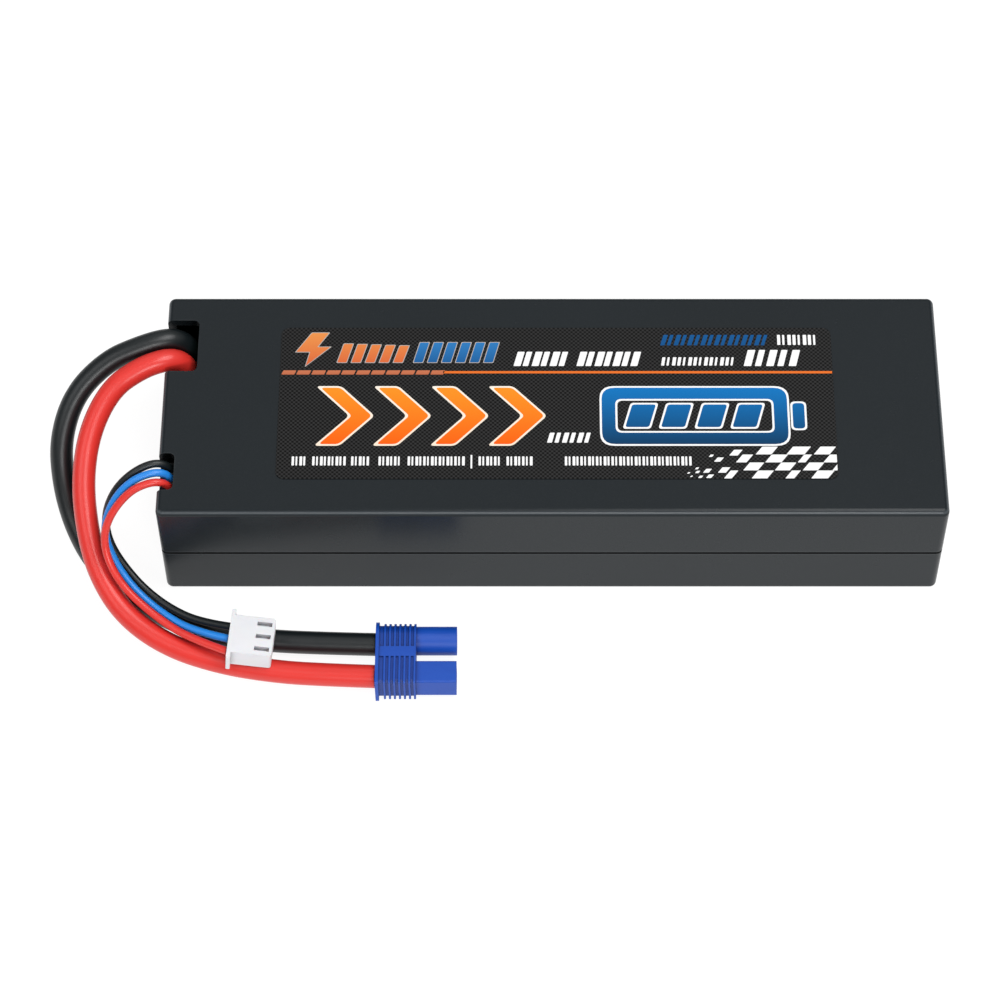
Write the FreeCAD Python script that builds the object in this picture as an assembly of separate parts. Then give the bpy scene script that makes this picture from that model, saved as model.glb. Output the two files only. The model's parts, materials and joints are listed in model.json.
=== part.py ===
import FreeCAD, Part
import math
import os

# Hard-case two-cell lithium polymer battery pack, millimetres.
# X runs along the length (the leads leave at -X), Y across, Z up.
# The origin is the centre of the case underside.

Vec = FreeCAD.Vector
UP = Vec(0, 0, 1)
ACROSS = Vec(0, 1, 0)
ALONG = Vec(1, 0, 0)

# ---------------------------------------------------------------- modelling margins
TOLERANCE = 1e-6
OVERCUT = 1.0

# ---------------------------------------------------------------- case
CASE_LENGTH = 138.0
CASE_WIDTH = 46.5
CASE_HEIGHT = 25.0
SEAM_Z = 12.0
WALL = 1.5
CORNER_RADIUS = 1.2
INNER_CORNER_RADIUS = 1.0
TOP_EDGE_RADIUS = 1.1
BOTTOM_EDGE_RADIUS = 0.9
SEAM_CHAMFER = 0.25
TONGUE_THICKNESS = 0.7
TONGUE_HEIGHT = 1.0
TONGUE_CLEARANCE = 0.05

# Lead notches cut through the top face and the -X end wall.
NOTCH_CORNER_RADIUS = 1.0
NOTCH_FLOOR_RADIUS = 0.8
NOTCH_OVERRUN = 4.0
POWER_NOTCH = {"x_inner": -63.2, "y_min": 6.85, "y_max": 17.9, "floor_z": 16.0}
BALANCE_NOTCH = {"x_inner": -66.15, "y_min": -18.3, "y_max": -10.7, "floor_z": 20.5}

# ---------------------------------------------------------------- label
LABEL_X_MIN = -48.35
LABEL_X_MAX = 50.0
LABEL_HALF_WIDTH = 16.15
LABEL_THICKNESS = 0.15
LABEL_CORNER_RADIUS = 1.5

# ---------------------------------------------------------------- cells
CELL_X_MIN = -54.0
CELL_X_MAX = 66.0
CELL_WIDTH = 41.6
CELL_THICKNESS = 9.8
CELL_EDGE_RADIUS = 1.2
SEAL_JOIN_OVERLAP = 0.5
LOWER_CELL_Z = 2.1
TAPE_THICKNESS = 0.2
UPPER_CELL_Z = LOWER_CELL_Z + CELL_THICKNESS + TAPE_THICKNESS
SEAL_LENGTH = 5.0
SEAL_THICKNESS = 0.3
SEAL_INSET = 0.8
SIDE_SEAL_HEIGHT = 6.0
SIDE_SEAL_THICKNESS = 0.3
SIDE_SEAL_END_GAP = 1.0
TAPE_LENGTH = 100.0
TAPE_WIDTH = 30.0
FOAM_INSET = 1.0
END_FOAM_CLEARANCE = 0.1
END_FOAM_SIDE_INSET = 2.0
END_FOAM_HEIGHT_INSET = 1.0

# ---------------------------------------------------------------- tabs
TAB_THICKNESS = 0.2
TAB_WIDTH = 12.0
TAB_OFFSET_Y = 10.5
TAB_TURN_HEIGHT = 3.0
FILM_THICKNESS = 0.25
FILM_WIDTH = 15.0
FILM_LENGTH = 3.0

# ---------------------------------------------------------------- board
BOARD_X_OUTER = -61.5
BOARD_THICKNESS = 1.2
BOARD_HALF_WIDTH = 19.0
BOARD_Z_MIN = WALL
BOARD_Z_MAX = 22.0
LINK_THICKNESS = 0.15
LINK_WIDTH = 8.0
INSULATION_THICKNESS = 0.3
INSULATION_GAP = 0.4
INSULATION_HALF_WIDTH = 20.5

# ---------------------------------------------------------------- leads
POWER_LEAD_DIAMETER = 4.1
POWER_CORE_DIAMETER = 2.4
POWER_CORE_LENGTH = 4.6
BALANCE_LEAD_DIAMETER = 1.4
BALANCE_CORE_DIAMETER = 0.7
BALANCE_CORE_LENGTH = 1.6
SEAL_OVERLAP = 1.0
SEAL_RISE = 1.6
SEAL_OUTER_INSET = 0.3
SEAL_INNER_GAP = 0.2
SEAL_SIDE_GAP = 0.1
POWER_JOINT_X_OUTER = -64.4
POWER_JOINT_HALF_WIDTH = 2.0
POWER_JOINT_Z_MIN = 4.4
POWER_JOINT_Z_MAX = 7.4
POWER_JOINT_FILLET = 0.6
BALANCE_JOINT_RADIUS = 0.95

# Each route starts on the board and ends on the connector's rear face.
LEAD_ROUTES = {
    "power_lead_negative": [
        (-63.8, 15.4, 8.6), (-64.6, 15.4, 12.6), (-65.2, 15.4, 16.6),
        (-65.6, 15.4, 20.4), (-67.1, 15.3, 22.5), (-69.4, 14.7, 23.6),
        (-73.8, 13.4, 23.2), (-79.8, 11.5, 21.5), (-85.7, 6.8, 17.9),
        (-88.4, 0.4, 12.8), (-88.0, -5.6, 7.3), (-86.0, -11.7, 3.5),
        (-82.3, -18.6, 2.2), (-76.7, -24.9, 2.1), (-69.3, -30.2, 2.1),
        (-60.2, -34.2, 2.1), (-50.0, -35.4, 2.1), (-40.2, -36.3, 2.8),
        (-31.0, -36.9, 3.4),
    ],
    "power_lead_positive": [
        (-63.8, 11.0, 8.6), (-64.6, 11.0, 12.6), (-65.2, 11.0, 16.6),
        (-65.6, 11.0, 20.4), (-67.1, 10.9, 22.5), (-69.4, 10.2, 23.6),
        (-73.6, 8.7, 23.1), (-78.7, 5.4, 21.6), (-82.3, -1.4, 18.6),
        (-83.5, -9.2, 14.9), (-82.7, -16.8, 11.0), (-80.5, -24.4, 7.4),
        (-75.7, -31.5, 4.5), (-68.0, -36.7, 2.7), (-58.3, -40.0, 2.2),
        (-48.2, -41.8, 2.2), (-39.2, -42.8, 2.9), (-31.0, -43.4, 3.4),
    ],
    "balance_lead_negative": [
        (-62.9, -12.2, 14.0), (-64.7, -12.2, 16.8), (-66.4, -12.2, 19.6),
        (-66.8, -12.2, 22.2), (-68.2, -12.2, 24.0), (-70.5, -12.6, 24.5),
        (-73.7, -13.8, 23.4), (-76.6, -15.3, 20.8), (-78.4, -17.0, 17.4),
        (-78.9, -18.8, 14.0), (-78.1, -20.9, 11.0), (-75.9, -23.5, 8.3),
        (-72.4, -26.9, 6.1), (-67.8, -30.3, 5.0), (-62.1, -33.5, 5.4),
        (-56.5, -35.4, 7.1),
    ],
    "balance_lead_middle": [
        (-62.9, -14.1, 14.0), (-64.7, -14.1, 16.8), (-66.4, -14.1, 19.6),
        (-66.8, -14.1, 22.2), (-68.2, -14.1, 24.0), (-70.5, -14.6, 24.5),
        (-73.7, -15.6, 23.5), (-76.6, -17.1, 20.7), (-78.4, -18.9, 17.2),
        (-78.9, -20.5, 14.2), (-78.1, -22.6, 11.4), (-76.1, -25.4, 8.8),
        (-73.0, -28.5, 6.6), (-68.8, -31.7, 5.3), (-63.4, -35.3, 5.4),
        (-56.7, -37.9, 7.1),
    ],
    "balance_lead_positive": [
        (-62.9, -16.1, 14.0), (-64.7, -16.1, 16.8), (-66.4, -16.1, 19.6),
        (-66.8, -16.1, 22.2), (-68.2, -16.1, 24.0), (-70.5, -16.5, 24.4),
        (-73.6, -17.4, 23.3), (-76.4, -18.9, 20.5), (-78.3, -20.6, 17.3),
        (-78.9, -22.2, 14.5), (-78.3, -24.5, 11.7), (-76.4, -27.3, 9.2),
        (-73.5, -30.0, 7.4), (-69.4, -33.1, 6.0), (-64.0, -36.8, 5.6),
        (-56.9, -40.4, 7.1),
    ],
}
ARC_SHARE = 0.45

# ---------------------------------------------------------------- power connector
PLUG_X = -31.0
PLUG_Z = 3.4
PLUG_FLANGE_LENGTH = 0.6
PLUG_GRIP_LENGTH = 6.5
PLUG_PRONG_LENGTH = 7.15
PLUG_ROUND_Y = -36.2
PLUG_SQUARE_Y = -43.7
PLUG_BODY_HALF_THICKNESS = 2.7
PLUG_NEAR_Y = -46.0
PLUG_RIB_STEP = 0.33
PLUG_FLANGE_STEP = 0.6
PLUG_RIB_COUNT = 7
PLUG_RIB_PITCH = 0.88
PLUG_RIB_WIDTH = 0.36
PLUG_BAR_WIDTH = 2.0
PLUG_CORNER_CHAMFER = 0.45
ROUND_PRONG_DIAMETER = 5.1
SQUARE_PRONG_WIDTH = 4.35
SQUARE_PRONG_HEIGHT = 4.9
SQUARE_PRONG_FILLET = 0.35
SOCKET_OUTER_DIAMETER = 3.9
SOCKET_BORE_DIAMETER = 3.5
SOCKET_BORE_DEPTH = 9.0
SOCKET_LENGTH = 11.5
SOCKET_RECESS = 0.5

# ---------------------------------------------------------------- balance connector
BAL_PLUG_ORIGIN = Vec(-56.7, -37.9, 7.15)
BAL_PLUG_YAW = -4.5
BAL_PLUG_PITCH = 5.0
BAL_FLANGE_LENGTH = 0.75
BAL_FLANGE_WIDTH = 9.8
BAL_FLANGE_RADIUS = 0.2
BAL_BODY_LENGTH = 7.1
BAL_BODY_WIDTH = 7.6
BAL_FRONT_RADIUS = 0.5
BAL_THICKNESS = 4.2
BAL_PITCH = 2.5
BAL_CAVITY_WIDTH = 1.7
BAL_CAVITY_HEIGHT = 1.9
BAL_WINDOW_X = 4.7
BAL_WINDOW_LENGTH = 2.6
BAL_WINDOW_WIDTH = 0.8
CRIMP_LENGTH = 6.0
CRIMP_PIN_SIDE = 0.75
CRIMP_PIN_DEPTH = 4.0
CRIMP_CLEARANCE = 0.1


# ================================================================ helpers
def block(x_min, x_max, y_min, y_max, z_min, z_max):
    """Axis-aligned box given by its limits."""
    return Part.makeBox(x_max - x_min, y_max - y_min, z_max - z_min,
                        Vec(x_min, y_min, z_min))


def vertical_edges(shape):
    """Straight edges of a shape that run along Z."""
    found = []
    for edge in shape.Edges:
        start = edge.Vertexes[0].Point
        end = edge.Vertexes[-1].Point
        if abs(start.x - end.x) < TOLERANCE and abs(start.y - end.y) < TOLERANCE:
            found.append(edge)
    return found


def edges_at_z(shape, level):
    """Edges of a shape that lie wholly in the plane z = level."""
    found = []
    for edge in shape.Edges:
        box = edge.BoundBox
        if abs(box.ZMin - level) < TOLERANCE and abs(box.ZMax - level) < TOLERANCE:
            found.append(edge)
    return found


def rounded_block(x_min, x_max, y_min, y_max, z_min, z_max, radius):
    """Box with its four vertical edges rounded."""
    shape = block(x_min, x_max, y_min, y_max, z_min, z_max)
    return shape.makeFillet(radius, vertical_edges(shape))


def case_block(inset, z_min, z_max, radius):
    """Rounded box that follows the case outline at a given inset."""
    half_length = CASE_LENGTH / 2 - inset
    half_width = CASE_WIDTH / 2 - inset
    return rounded_block(-half_length, half_length, -half_width, half_width,
                         z_min, z_max, radius)


def case_ring(outer_inset, inner_inset, z_min, z_max):
    """Closed band between two insets of the case outline."""
    outer = case_block(outer_inset, z_min, z_max, CORNER_RADIUS - outer_inset)
    inner = case_block(inner_inset, z_min - 1, z_max + 1, INNER_CORNER_RADIUS)
    return outer.cut(inner)


def rod(start, direction, diameter, length):
    """Solid cylinder from a start point along a direction."""
    return Part.makeCylinder(diameter / 2, length, start, direction)


def export(name, shape):
    """Check one node's shape and write its STEP file."""
    if not shape.isValid():
        raise ValueError(name + " is not a valid shape")
    if not shape.Solids:
        raise ValueError(name + " holds no solid")
    shape.exportStep("parts/" + name + ".step")
    print(name, "solids", len(shape.Solids), "volume", round(shape.Volume, 2))


# ================================================================ case shells
def notch_cutter(notch):
    """Rounded pocket that opens the top face and the -X end wall."""
    cutter = rounded_block(-CASE_LENGTH / 2 - NOTCH_OVERRUN, notch["x_inner"],
                           notch["y_min"], notch["y_max"],
                           notch["floor_z"], CASE_HEIGHT + OVERCUT,
                           NOTCH_CORNER_RADIUS)
    return cutter.makeFillet(NOTCH_FLOOR_RADIUS,
                             edges_at_z(cutter, notch["floor_z"]))


def make_case_bottom():
    """Tray with a tongue standing on its rim."""
    shell = case_block(0, 0, SEAM_Z, CORNER_RADIUS)
    shell = shell.makeFillet(BOTTOM_EDGE_RADIUS, edges_at_z(shell, 0))
    shell = shell.makeChamfer(SEAM_CHAMFER, edges_at_z(shell, SEAM_Z))
    shell = shell.cut(case_block(WALL, WALL, SEAM_Z + OVERCUT,
                                 INNER_CORNER_RADIUS))
    tongue = case_ring(WALL - TONGUE_THICKNESS, WALL, SEAM_Z,
                       SEAM_Z + TONGUE_HEIGHT)
    return shell.fuse(tongue).removeSplitter()


def make_case_top():
    """Lid with a groove for the tongue and the two lead notches."""
    shell = case_block(0, SEAM_Z, CASE_HEIGHT, CORNER_RADIUS)
    shell = shell.makeFillet(TOP_EDGE_RADIUS, edges_at_z(shell, CASE_HEIGHT))
    shell = shell.makeChamfer(SEAM_CHAMFER, edges_at_z(shell, SEAM_Z))
    shell = shell.cut(case_block(WALL, SEAM_Z - OVERCUT, CASE_HEIGHT - WALL,
                                 INNER_CORNER_RADIUS))
    groove_inset = WALL - TONGUE_THICKNESS - TONGUE_CLEARANCE
    groove = case_block(groove_inset, SEAM_Z - OVERCUT,
                        SEAM_Z + TONGUE_HEIGHT + TONGUE_CLEARANCE,
                        CORNER_RADIUS - groove_inset)
    shell = shell.cut(groove)
    for notch in (POWER_NOTCH, BALANCE_NOTCH):
        shell = shell.cut(notch_cutter(notch))
    return shell.removeSplitter()


def make_top_label():
    """Thin printed sticker on the lid."""
    return rounded_block(LABEL_X_MIN, LABEL_X_MAX,
                         -LABEL_HALF_WIDTH, LABEL_HALF_WIDTH,
                         CASE_HEIGHT, CASE_HEIGHT + LABEL_THICKNESS,
                         LABEL_CORNER_RADIUS)


# ================================================================ cells
def make_cell_pouch(z_base):
    """Flat pouch with a sealed terrace in front and folded side seals."""
    half_width = CELL_WIDTH / 2 - SIDE_SEAL_THICKNESS
    body = block(CELL_X_MIN, CELL_X_MAX, -half_width, half_width,
                 z_base, z_base + CELL_THICKNESS)
    long_edges = [edge for edge in body.Edges
                  if edge.BoundBox.XLength > CELL_THICKNESS]
    body = body.makeFillet(CELL_EDGE_RADIUS, long_edges)
    middle = z_base + CELL_THICKNESS / 2
    terrace = block(CELL_X_MIN - SEAL_LENGTH, CELL_X_MIN + SEAL_JOIN_OVERLAP,
                    -half_width + SEAL_INSET, half_width - SEAL_INSET,
                    middle - SEAL_THICKNESS / 2, middle + SEAL_THICKNESS / 2)
    pouch = body.fuse(terrace)
    for side in (-1, 1):
        inner = side * half_width
        outer = side * (half_width + SIDE_SEAL_THICKNESS)
        pouch = pouch.fuse(block(CELL_X_MIN + SIDE_SEAL_END_GAP,
                                 CELL_X_MAX - SIDE_SEAL_END_GAP,
                                 min(inner, outer), max(inner, outer),
                                 middle - SIDE_SEAL_HEIGHT / 2,
                                 middle + SIDE_SEAL_HEIGHT / 2))
    return pouch.removeSplitter()


def make_cell_tab(z_base, side):
    """Bent strip from a cell's seal to the inner face of the board."""
    middle = z_base + CELL_THICKNESS / 2
    y_min = side * TAB_OFFSET_Y - TAB_WIDTH / 2
    y_max = side * TAB_OFFSET_Y + TAB_WIDTH / 2
    x_board = BOARD_X_OUTER + BOARD_THICKNESS
    x_seal = CELL_X_MIN - SEAL_LENGTH
    flat = block(x_board, x_seal, y_min, y_max,
                 middle - TAB_THICKNESS / 2, middle + TAB_THICKNESS / 2)
    turned = block(x_board, x_board + TAB_THICKNESS, y_min, y_max,
                   middle - TAB_THICKNESS / 2, middle + TAB_TURN_HEIGHT)
    return flat.fuse(turned).removeSplitter()


def make_tab_films(z_base):
    """Sealing film round both tabs where they leave the pouch."""
    middle = z_base + CELL_THICKNESS / 2
    x_max = CELL_X_MIN - SEAL_LENGTH + FILM_LENGTH
    x_min = CELL_X_MIN - SEAL_LENGTH
    films = []
    for side in (-1, 1):
        y_min = side * TAB_OFFSET_Y - FILM_WIDTH / 2
        y_max = side * TAB_OFFSET_Y + FILM_WIDTH / 2
        z_top = middle + SEAL_THICKNESS / 2
        films.append(block(x_min, x_max, y_min, y_max,
                           z_top, z_top + FILM_THICKNESS))
    return Part.makeCompound(films)


def make_cell_tape():
    """Double-sided tape between the two cells."""
    centre = (CELL_X_MIN + CELL_X_MAX) / 2
    z_base = LOWER_CELL_Z + CELL_THICKNESS
    return block(centre - TAPE_LENGTH / 2, centre + TAPE_LENGTH / 2,
                 -TAPE_WIDTH / 2, TAPE_WIDTH / 2,
                 z_base, z_base + TAPE_THICKNESS)


def make_bottom_foam():
    """Thin foam sheet under the lower cell."""
    return block(CELL_X_MIN, CELL_X_MAX, -CELL_WIDTH / 2 + FOAM_INSET,
                 CELL_WIDTH / 2 - FOAM_INSET, WALL, LOWER_CELL_Z)


def make_top_foam():
    """Foam pad that presses the upper cell down."""
    return block(CELL_X_MIN, CELL_X_MAX, -CELL_WIDTH / 2 + FOAM_INSET,
                 CELL_WIDTH / 2 - FOAM_INSET, UPPER_CELL_Z + CELL_THICKNESS,
                 CASE_HEIGHT - WALL)


def make_end_foam():
    """Foam block between the cells and the +X end wall."""
    return block(CELL_X_MAX, CASE_LENGTH / 2 - WALL - END_FOAM_CLEARANCE,
                 -CELL_WIDTH / 2 + END_FOAM_SIDE_INSET,
                 CELL_WIDTH / 2 - END_FOAM_SIDE_INSET,
                 LOWER_CELL_Z + END_FOAM_HEIGHT_INSET,
                 UPPER_CELL_Z + CELL_THICKNESS - END_FOAM_HEIGHT_INSET)


# ================================================================ board
def make_tab_board():
    """Upright board that joins the tabs and the leads."""
    return block(BOARD_X_OUTER, BOARD_X_OUTER + BOARD_THICKNESS,
                 -BOARD_HALF_WIDTH, BOARD_HALF_WIDTH, BOARD_Z_MIN, BOARD_Z_MAX)


def make_series_link():
    """Nickel strip that joins the two cells in series."""
    x_inner = BOARD_X_OUTER + BOARD_THICKNESS + TAB_THICKNESS
    lower_middle = LOWER_CELL_Z + CELL_THICKNESS / 2
    upper_middle = UPPER_CELL_Z + CELL_THICKNESS / 2
    return block(x_inner, x_inner + LINK_THICKNESS,
                 TAB_OFFSET_Y - LINK_WIDTH / 2, TAB_OFFSET_Y + LINK_WIDTH / 2,
                 lower_middle + TAB_THICKNESS, upper_middle - TAB_THICKNESS)


def make_insulation_sheet():
    """Fibre sheet between the board's bay and the cells' terraces."""
    x_max = CELL_X_MIN - INSULATION_GAP
    sheet = block(x_max - INSULATION_THICKNESS, x_max,
                  -INSULATION_HALF_WIDTH, INSULATION_HALF_WIDTH,
                  BOARD_Z_MIN, BOARD_Z_MAX)
    half_slot = CELL_WIDTH / 2 - SIDE_SEAL_THICKNESS - SEAL_INSET / 2
    for z_base in (LOWER_CELL_Z, UPPER_CELL_Z):
        middle = z_base + CELL_THICKNESS / 2
        sheet = sheet.cut(block(x_max - OVERCUT, x_max + OVERCUT,
                                -half_slot, half_slot,
                                middle - SEAL_THICKNESS, middle + SEAL_THICKNESS))
    return sheet


# ================================================================ leads
def lead_path(name, points):
    """Straight runs joined by tangent arcs; prints every arc radius."""
    points = [Vec(*point) for point in points]
    edges = []
    radii = []
    last = points[0]
    for index in range(1, len(points) - 1):
        corner = points[index]
        back = (points[index - 1] - corner)
        ahead = (points[index + 1] - corner)
        shorter = min(back.Length, ahead.Length)
        back.normalize()
        ahead.normalize()
        half_turn = (math.pi - back.getAngle(ahead)) / 2
        trim = ARC_SHARE * shorter
        radius = trim / math.tan(half_turn)
        radii.append(round(radius, 1))
        arc_start = corner + back * trim
        arc_end = corner + ahead * trim
        inward = back + ahead
        inward.normalize()
        reach = radius / math.cos(half_turn) - radius
        arc_middle = corner + inward * reach
        edges.append(Part.LineSegment(last, arc_start).toShape())
        edges.append(Part.Arc(arc_start, arc_middle, arc_end).toShape())
        last = arc_end
    edges.append(Part.LineSegment(last, points[-1]).toShape())
    print(name, "arc radii", radii)
    return Part.Wire(edges)


def make_lead(name, diameter):
    """Round lead along its route; checks volume against length."""
    points = LEAD_ROUTES[name]
    path = lead_path(name, points)
    start = Vec(*points[0])
    direction = Vec(*points[1]) - start
    circle = Part.makeCircle(diameter / 2, start, direction)
    lead = path.makePipeShell([Part.Wire([circle])], True, False)
    expected = math.pi * diameter ** 2 / 4 * path.Length
    print(name, "length", round(path.Length, 1), "volume ratio",
          round(lead.Volume / expected, 4))
    return lead


def lead_end(name):
    """Start point of a lead and the direction that leads away from it."""
    start = Vec(*LEAD_ROUTES[name][0])
    outward = start - Vec(*LEAD_ROUTES[name][1])
    outward.normalize()
    return start, outward


def make_core(name, diameter, length):
    """Bare tinned conductor below the end of a lead's insulation."""
    start, outward = lead_end(name)
    return rod(start, outward, diameter, length)


def make_power_joints(cores, leads):
    """Solder blocks that hold the two power cores on the board."""
    joints = []
    for name in ("power_lead_negative", "power_lead_positive"):
        start, outward = lead_end(name)
        joint = block(POWER_JOINT_X_OUTER, BOARD_X_OUTER,
                      start.y - POWER_JOINT_HALF_WIDTH,
                      start.y + POWER_JOINT_HALF_WIDTH,
                      POWER_JOINT_Z_MIN, POWER_JOINT_Z_MAX)
        outer_edges = [edge for edge in joint.Edges
                       if edge.BoundBox.XMax < POWER_JOINT_X_OUTER + TOLERANCE]
        joint = joint.makeFillet(POWER_JOINT_FILLET, outer_edges)
        for other in cores + leads:
            joint = joint.cut(other)
        joints.append(joint)
    return Part.makeCompound(joints)


def make_balance_joints(cores, leads):
    """Solder domes that hold the three balance cores on the board."""
    joints = []
    for name in ("balance_lead_negative", "balance_lead_middle",
                 "balance_lead_positive"):
        start, outward = lead_end(name)
        centre = Vec(BOARD_X_OUTER, start.y, start.z - BALANCE_CORE_LENGTH / 2)
        joint = Part.makeSphere(BALANCE_JOINT_RADIUS, centre)
        reach = BALANCE_JOINT_RADIUS + OVERCUT
        joint = joint.cut(block(BOARD_X_OUTER, BOARD_X_OUTER + reach,
                                centre.y - reach, centre.y + reach,
                                centre.z - reach, centre.z + reach))
        for other in cores + leads:
            joint = joint.cut(other)
        joints.append(joint)
    return Part.makeCompound(joints)


def make_lead_seal(notch, leads, case_top):
    """Soft sealant round the leads at the foot of a notch."""
    seal = block(-CASE_LENGTH / 2 + SEAL_OUTER_INSET,
                 notch["x_inner"] - SEAL_INNER_GAP,
                 notch["y_min"] + SEAL_SIDE_GAP, notch["y_max"] - SEAL_SIDE_GAP,
                 notch["floor_z"] - SEAL_OVERLAP,
                 notch["floor_z"] + SEAL_RISE)
    seal = seal.cut(case_top)
    for lead in leads:
        seal = seal.cut(lead)
    return seal


# ================================================================ power connector
def plug_section(x_min, x_max, step):
    """Slice of the grip: round at one way, squared at the other."""
    half = PLUG_BODY_HALF_THICKNESS + step
    near = PLUG_NEAR_Y - step
    round_part = rod(Vec(x_min, PLUG_ROUND_Y, PLUG_Z), ALONG,
                     2 * half, x_max - x_min)
    square_part = block(x_min, x_max, near, PLUG_ROUND_Y,
                        PLUG_Z - half, PLUG_Z + half)
    near_edges = [edge for edge in square_part.Edges
                  if edge.BoundBox.YMax < near + TOLERANCE
                  and edge.BoundBox.XLength > (x_max - x_min) / 2]
    square_part = square_part.makeChamfer(
        min(PLUG_CORNER_CHAMFER, (x_max - x_min) / 2), near_edges)
    return round_part.fuse(square_part)


def plug_prong_centres():
    """Axis points of the two ways at the grip's front face."""
    x_front = PLUG_X + PLUG_FLANGE_LENGTH + PLUG_GRIP_LENGTH
    return (Vec(x_front, PLUG_ROUND_Y, PLUG_Z),
            Vec(x_front, PLUG_SQUARE_Y, PLUG_Z))


def make_power_connector():
    """Ribbed two-way housing with one round and one square prong."""
    x_grip = PLUG_X + PLUG_FLANGE_LENGTH
    x_front = x_grip + PLUG_GRIP_LENGTH
    housing = plug_section(PLUG_X, x_grip, PLUG_FLANGE_STEP)
    housing = housing.fuse(plug_section(x_grip, x_front, 0))
    for index in range(PLUG_RIB_COUNT):
        x_rib = x_front - PLUG_RIB_WIDTH - index * PLUG_RIB_PITCH
        housing = housing.fuse(plug_section(x_rib, x_rib + PLUG_RIB_WIDTH,
                                            PLUG_RIB_STEP))
    half = PLUG_BODY_HALF_THICKNESS + PLUG_RIB_STEP
    bar_y = (PLUG_ROUND_Y + PLUG_SQUARE_Y) / 2
    housing = housing.fuse(block(x_grip, x_front,
                                 bar_y - PLUG_BAR_WIDTH / 2,
                                 bar_y + PLUG_BAR_WIDTH / 2,
                                 PLUG_Z - half, PLUG_Z + half))
    round_centre, square_centre = plug_prong_centres()
    housing = housing.fuse(rod(round_centre, ALONG,
                               ROUND_PRONG_DIAMETER, PLUG_PRONG_LENGTH))
    prong = block(x_front, x_front + PLUG_PRONG_LENGTH,
                  PLUG_SQUARE_Y - SQUARE_PRONG_WIDTH / 2,
                  PLUG_SQUARE_Y + SQUARE_PRONG_WIDTH / 2,
                  PLUG_Z - SQUARE_PRONG_HEIGHT / 2,
                  PLUG_Z + SQUARE_PRONG_HEIGHT / 2)
    long_edges = [edge for edge in prong.Edges
                  if edge.BoundBox.XLength > PLUG_PRONG_LENGTH / 2]
    prong = prong.makeFillet(SQUARE_PRONG_FILLET, long_edges)
    housing = housing.fuse(prong).removeSplitter()
    for centre in (round_centre, square_centre):
        socket_rear = centre.x + PLUG_PRONG_LENGTH - SOCKET_RECESS - SOCKET_LENGTH
        housing = housing.cut(rod(Vec(socket_rear, centre.y, centre.z),
                                  ALONG, SOCKET_OUTER_DIAMETER,
                                  SOCKET_LENGTH + SOCKET_RECESS + OVERCUT))
    return housing


def make_socket_contact(centre):
    """Slit round socket that takes a bullet contact."""
    x_mouth = centre.x + PLUG_PRONG_LENGTH - SOCKET_RECESS
    x_rear = x_mouth - SOCKET_LENGTH
    socket = rod(Vec(x_rear, centre.y, centre.z), ALONG,
                 SOCKET_OUTER_DIAMETER, SOCKET_LENGTH)
    bore = rod(Vec(x_mouth - SOCKET_BORE_DEPTH, centre.y, centre.z), ALONG,
               SOCKET_BORE_DIAMETER, SOCKET_BORE_DEPTH + OVERCUT)
    return socket.cut(bore)


# ================================================================ balance connector
def place_on_balance_plug(shape):
    """Move a shape from the connector's own frame to where it lies."""
    placed = shape.copy()
    placed.rotate(Vec(0, 0, 0), ACROSS, BAL_PLUG_PITCH)
    placed.rotate(Vec(0, 0, 0), UP, BAL_PLUG_YAW)
    placed.translate(BAL_PLUG_ORIGIN)
    return placed


def balance_ways():
    """Sideways offsets of the three ways."""
    return [BAL_PITCH, 0.0, -BAL_PITCH]


def make_balance_connector():
    """Three-way housing with a rear flange and three lance windows."""
    half = BAL_THICKNESS / 2
    x_front = BAL_FLANGE_LENGTH + BAL_BODY_LENGTH
    flange = rounded_block(0, BAL_FLANGE_LENGTH,
                           -BAL_FLANGE_WIDTH / 2, BAL_FLANGE_WIDTH / 2,
                           -half, half, BAL_FLANGE_RADIUS)
    body = block(BAL_FLANGE_LENGTH, x_front, -BAL_BODY_WIDTH / 2,
                 BAL_BODY_WIDTH / 2, -half, half)
    front_edges = [edge for edge in vertical_edges(body)
                   if edge.BoundBox.XMin > x_front - TOLERANCE]
    body = body.makeFillet(BAL_FRONT_RADIUS, front_edges)
    housing = flange.fuse(body).removeSplitter()
    for offset in balance_ways():
        housing = housing.cut(block(BAL_FLANGE_LENGTH, x_front + OVERCUT,
                                    offset - BAL_CAVITY_WIDTH / 2,
                                    offset + BAL_CAVITY_WIDTH / 2,
                                    -BAL_CAVITY_HEIGHT / 2,
                                    BAL_CAVITY_HEIGHT / 2))
        housing = housing.cut(block(BAL_WINDOW_X,
                                    BAL_WINDOW_X + BAL_WINDOW_LENGTH,
                                    offset - BAL_WINDOW_WIDTH / 2,
                                    offset + BAL_WINDOW_WIDTH / 2,
                                    0, half + OVERCUT))
    return place_on_balance_plug(housing)


def make_crimp_contact(offset):
    """Box contact with a square hole for a header pin."""
    half_width = BAL_CAVITY_WIDTH / 2 - CRIMP_CLEARANCE
    half_height = BAL_CAVITY_HEIGHT / 2 - CRIMP_CLEARANCE
    x_front = BAL_FLANGE_LENGTH + CRIMP_LENGTH
    contact = block(BAL_FLANGE_LENGTH, x_front,
                    offset - half_width, offset + half_width,
                    -half_height, half_height)
    contact = contact.cut(block(x_front - CRIMP_PIN_DEPTH, x_front + OVERCUT,
                                offset - CRIMP_PIN_SIDE / 2,
                                offset + CRIMP_PIN_SIDE / 2,
                                -CRIMP_PIN_SIDE / 2, CRIMP_PIN_SIDE / 2))
    return place_on_balance_plug(contact)


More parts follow.
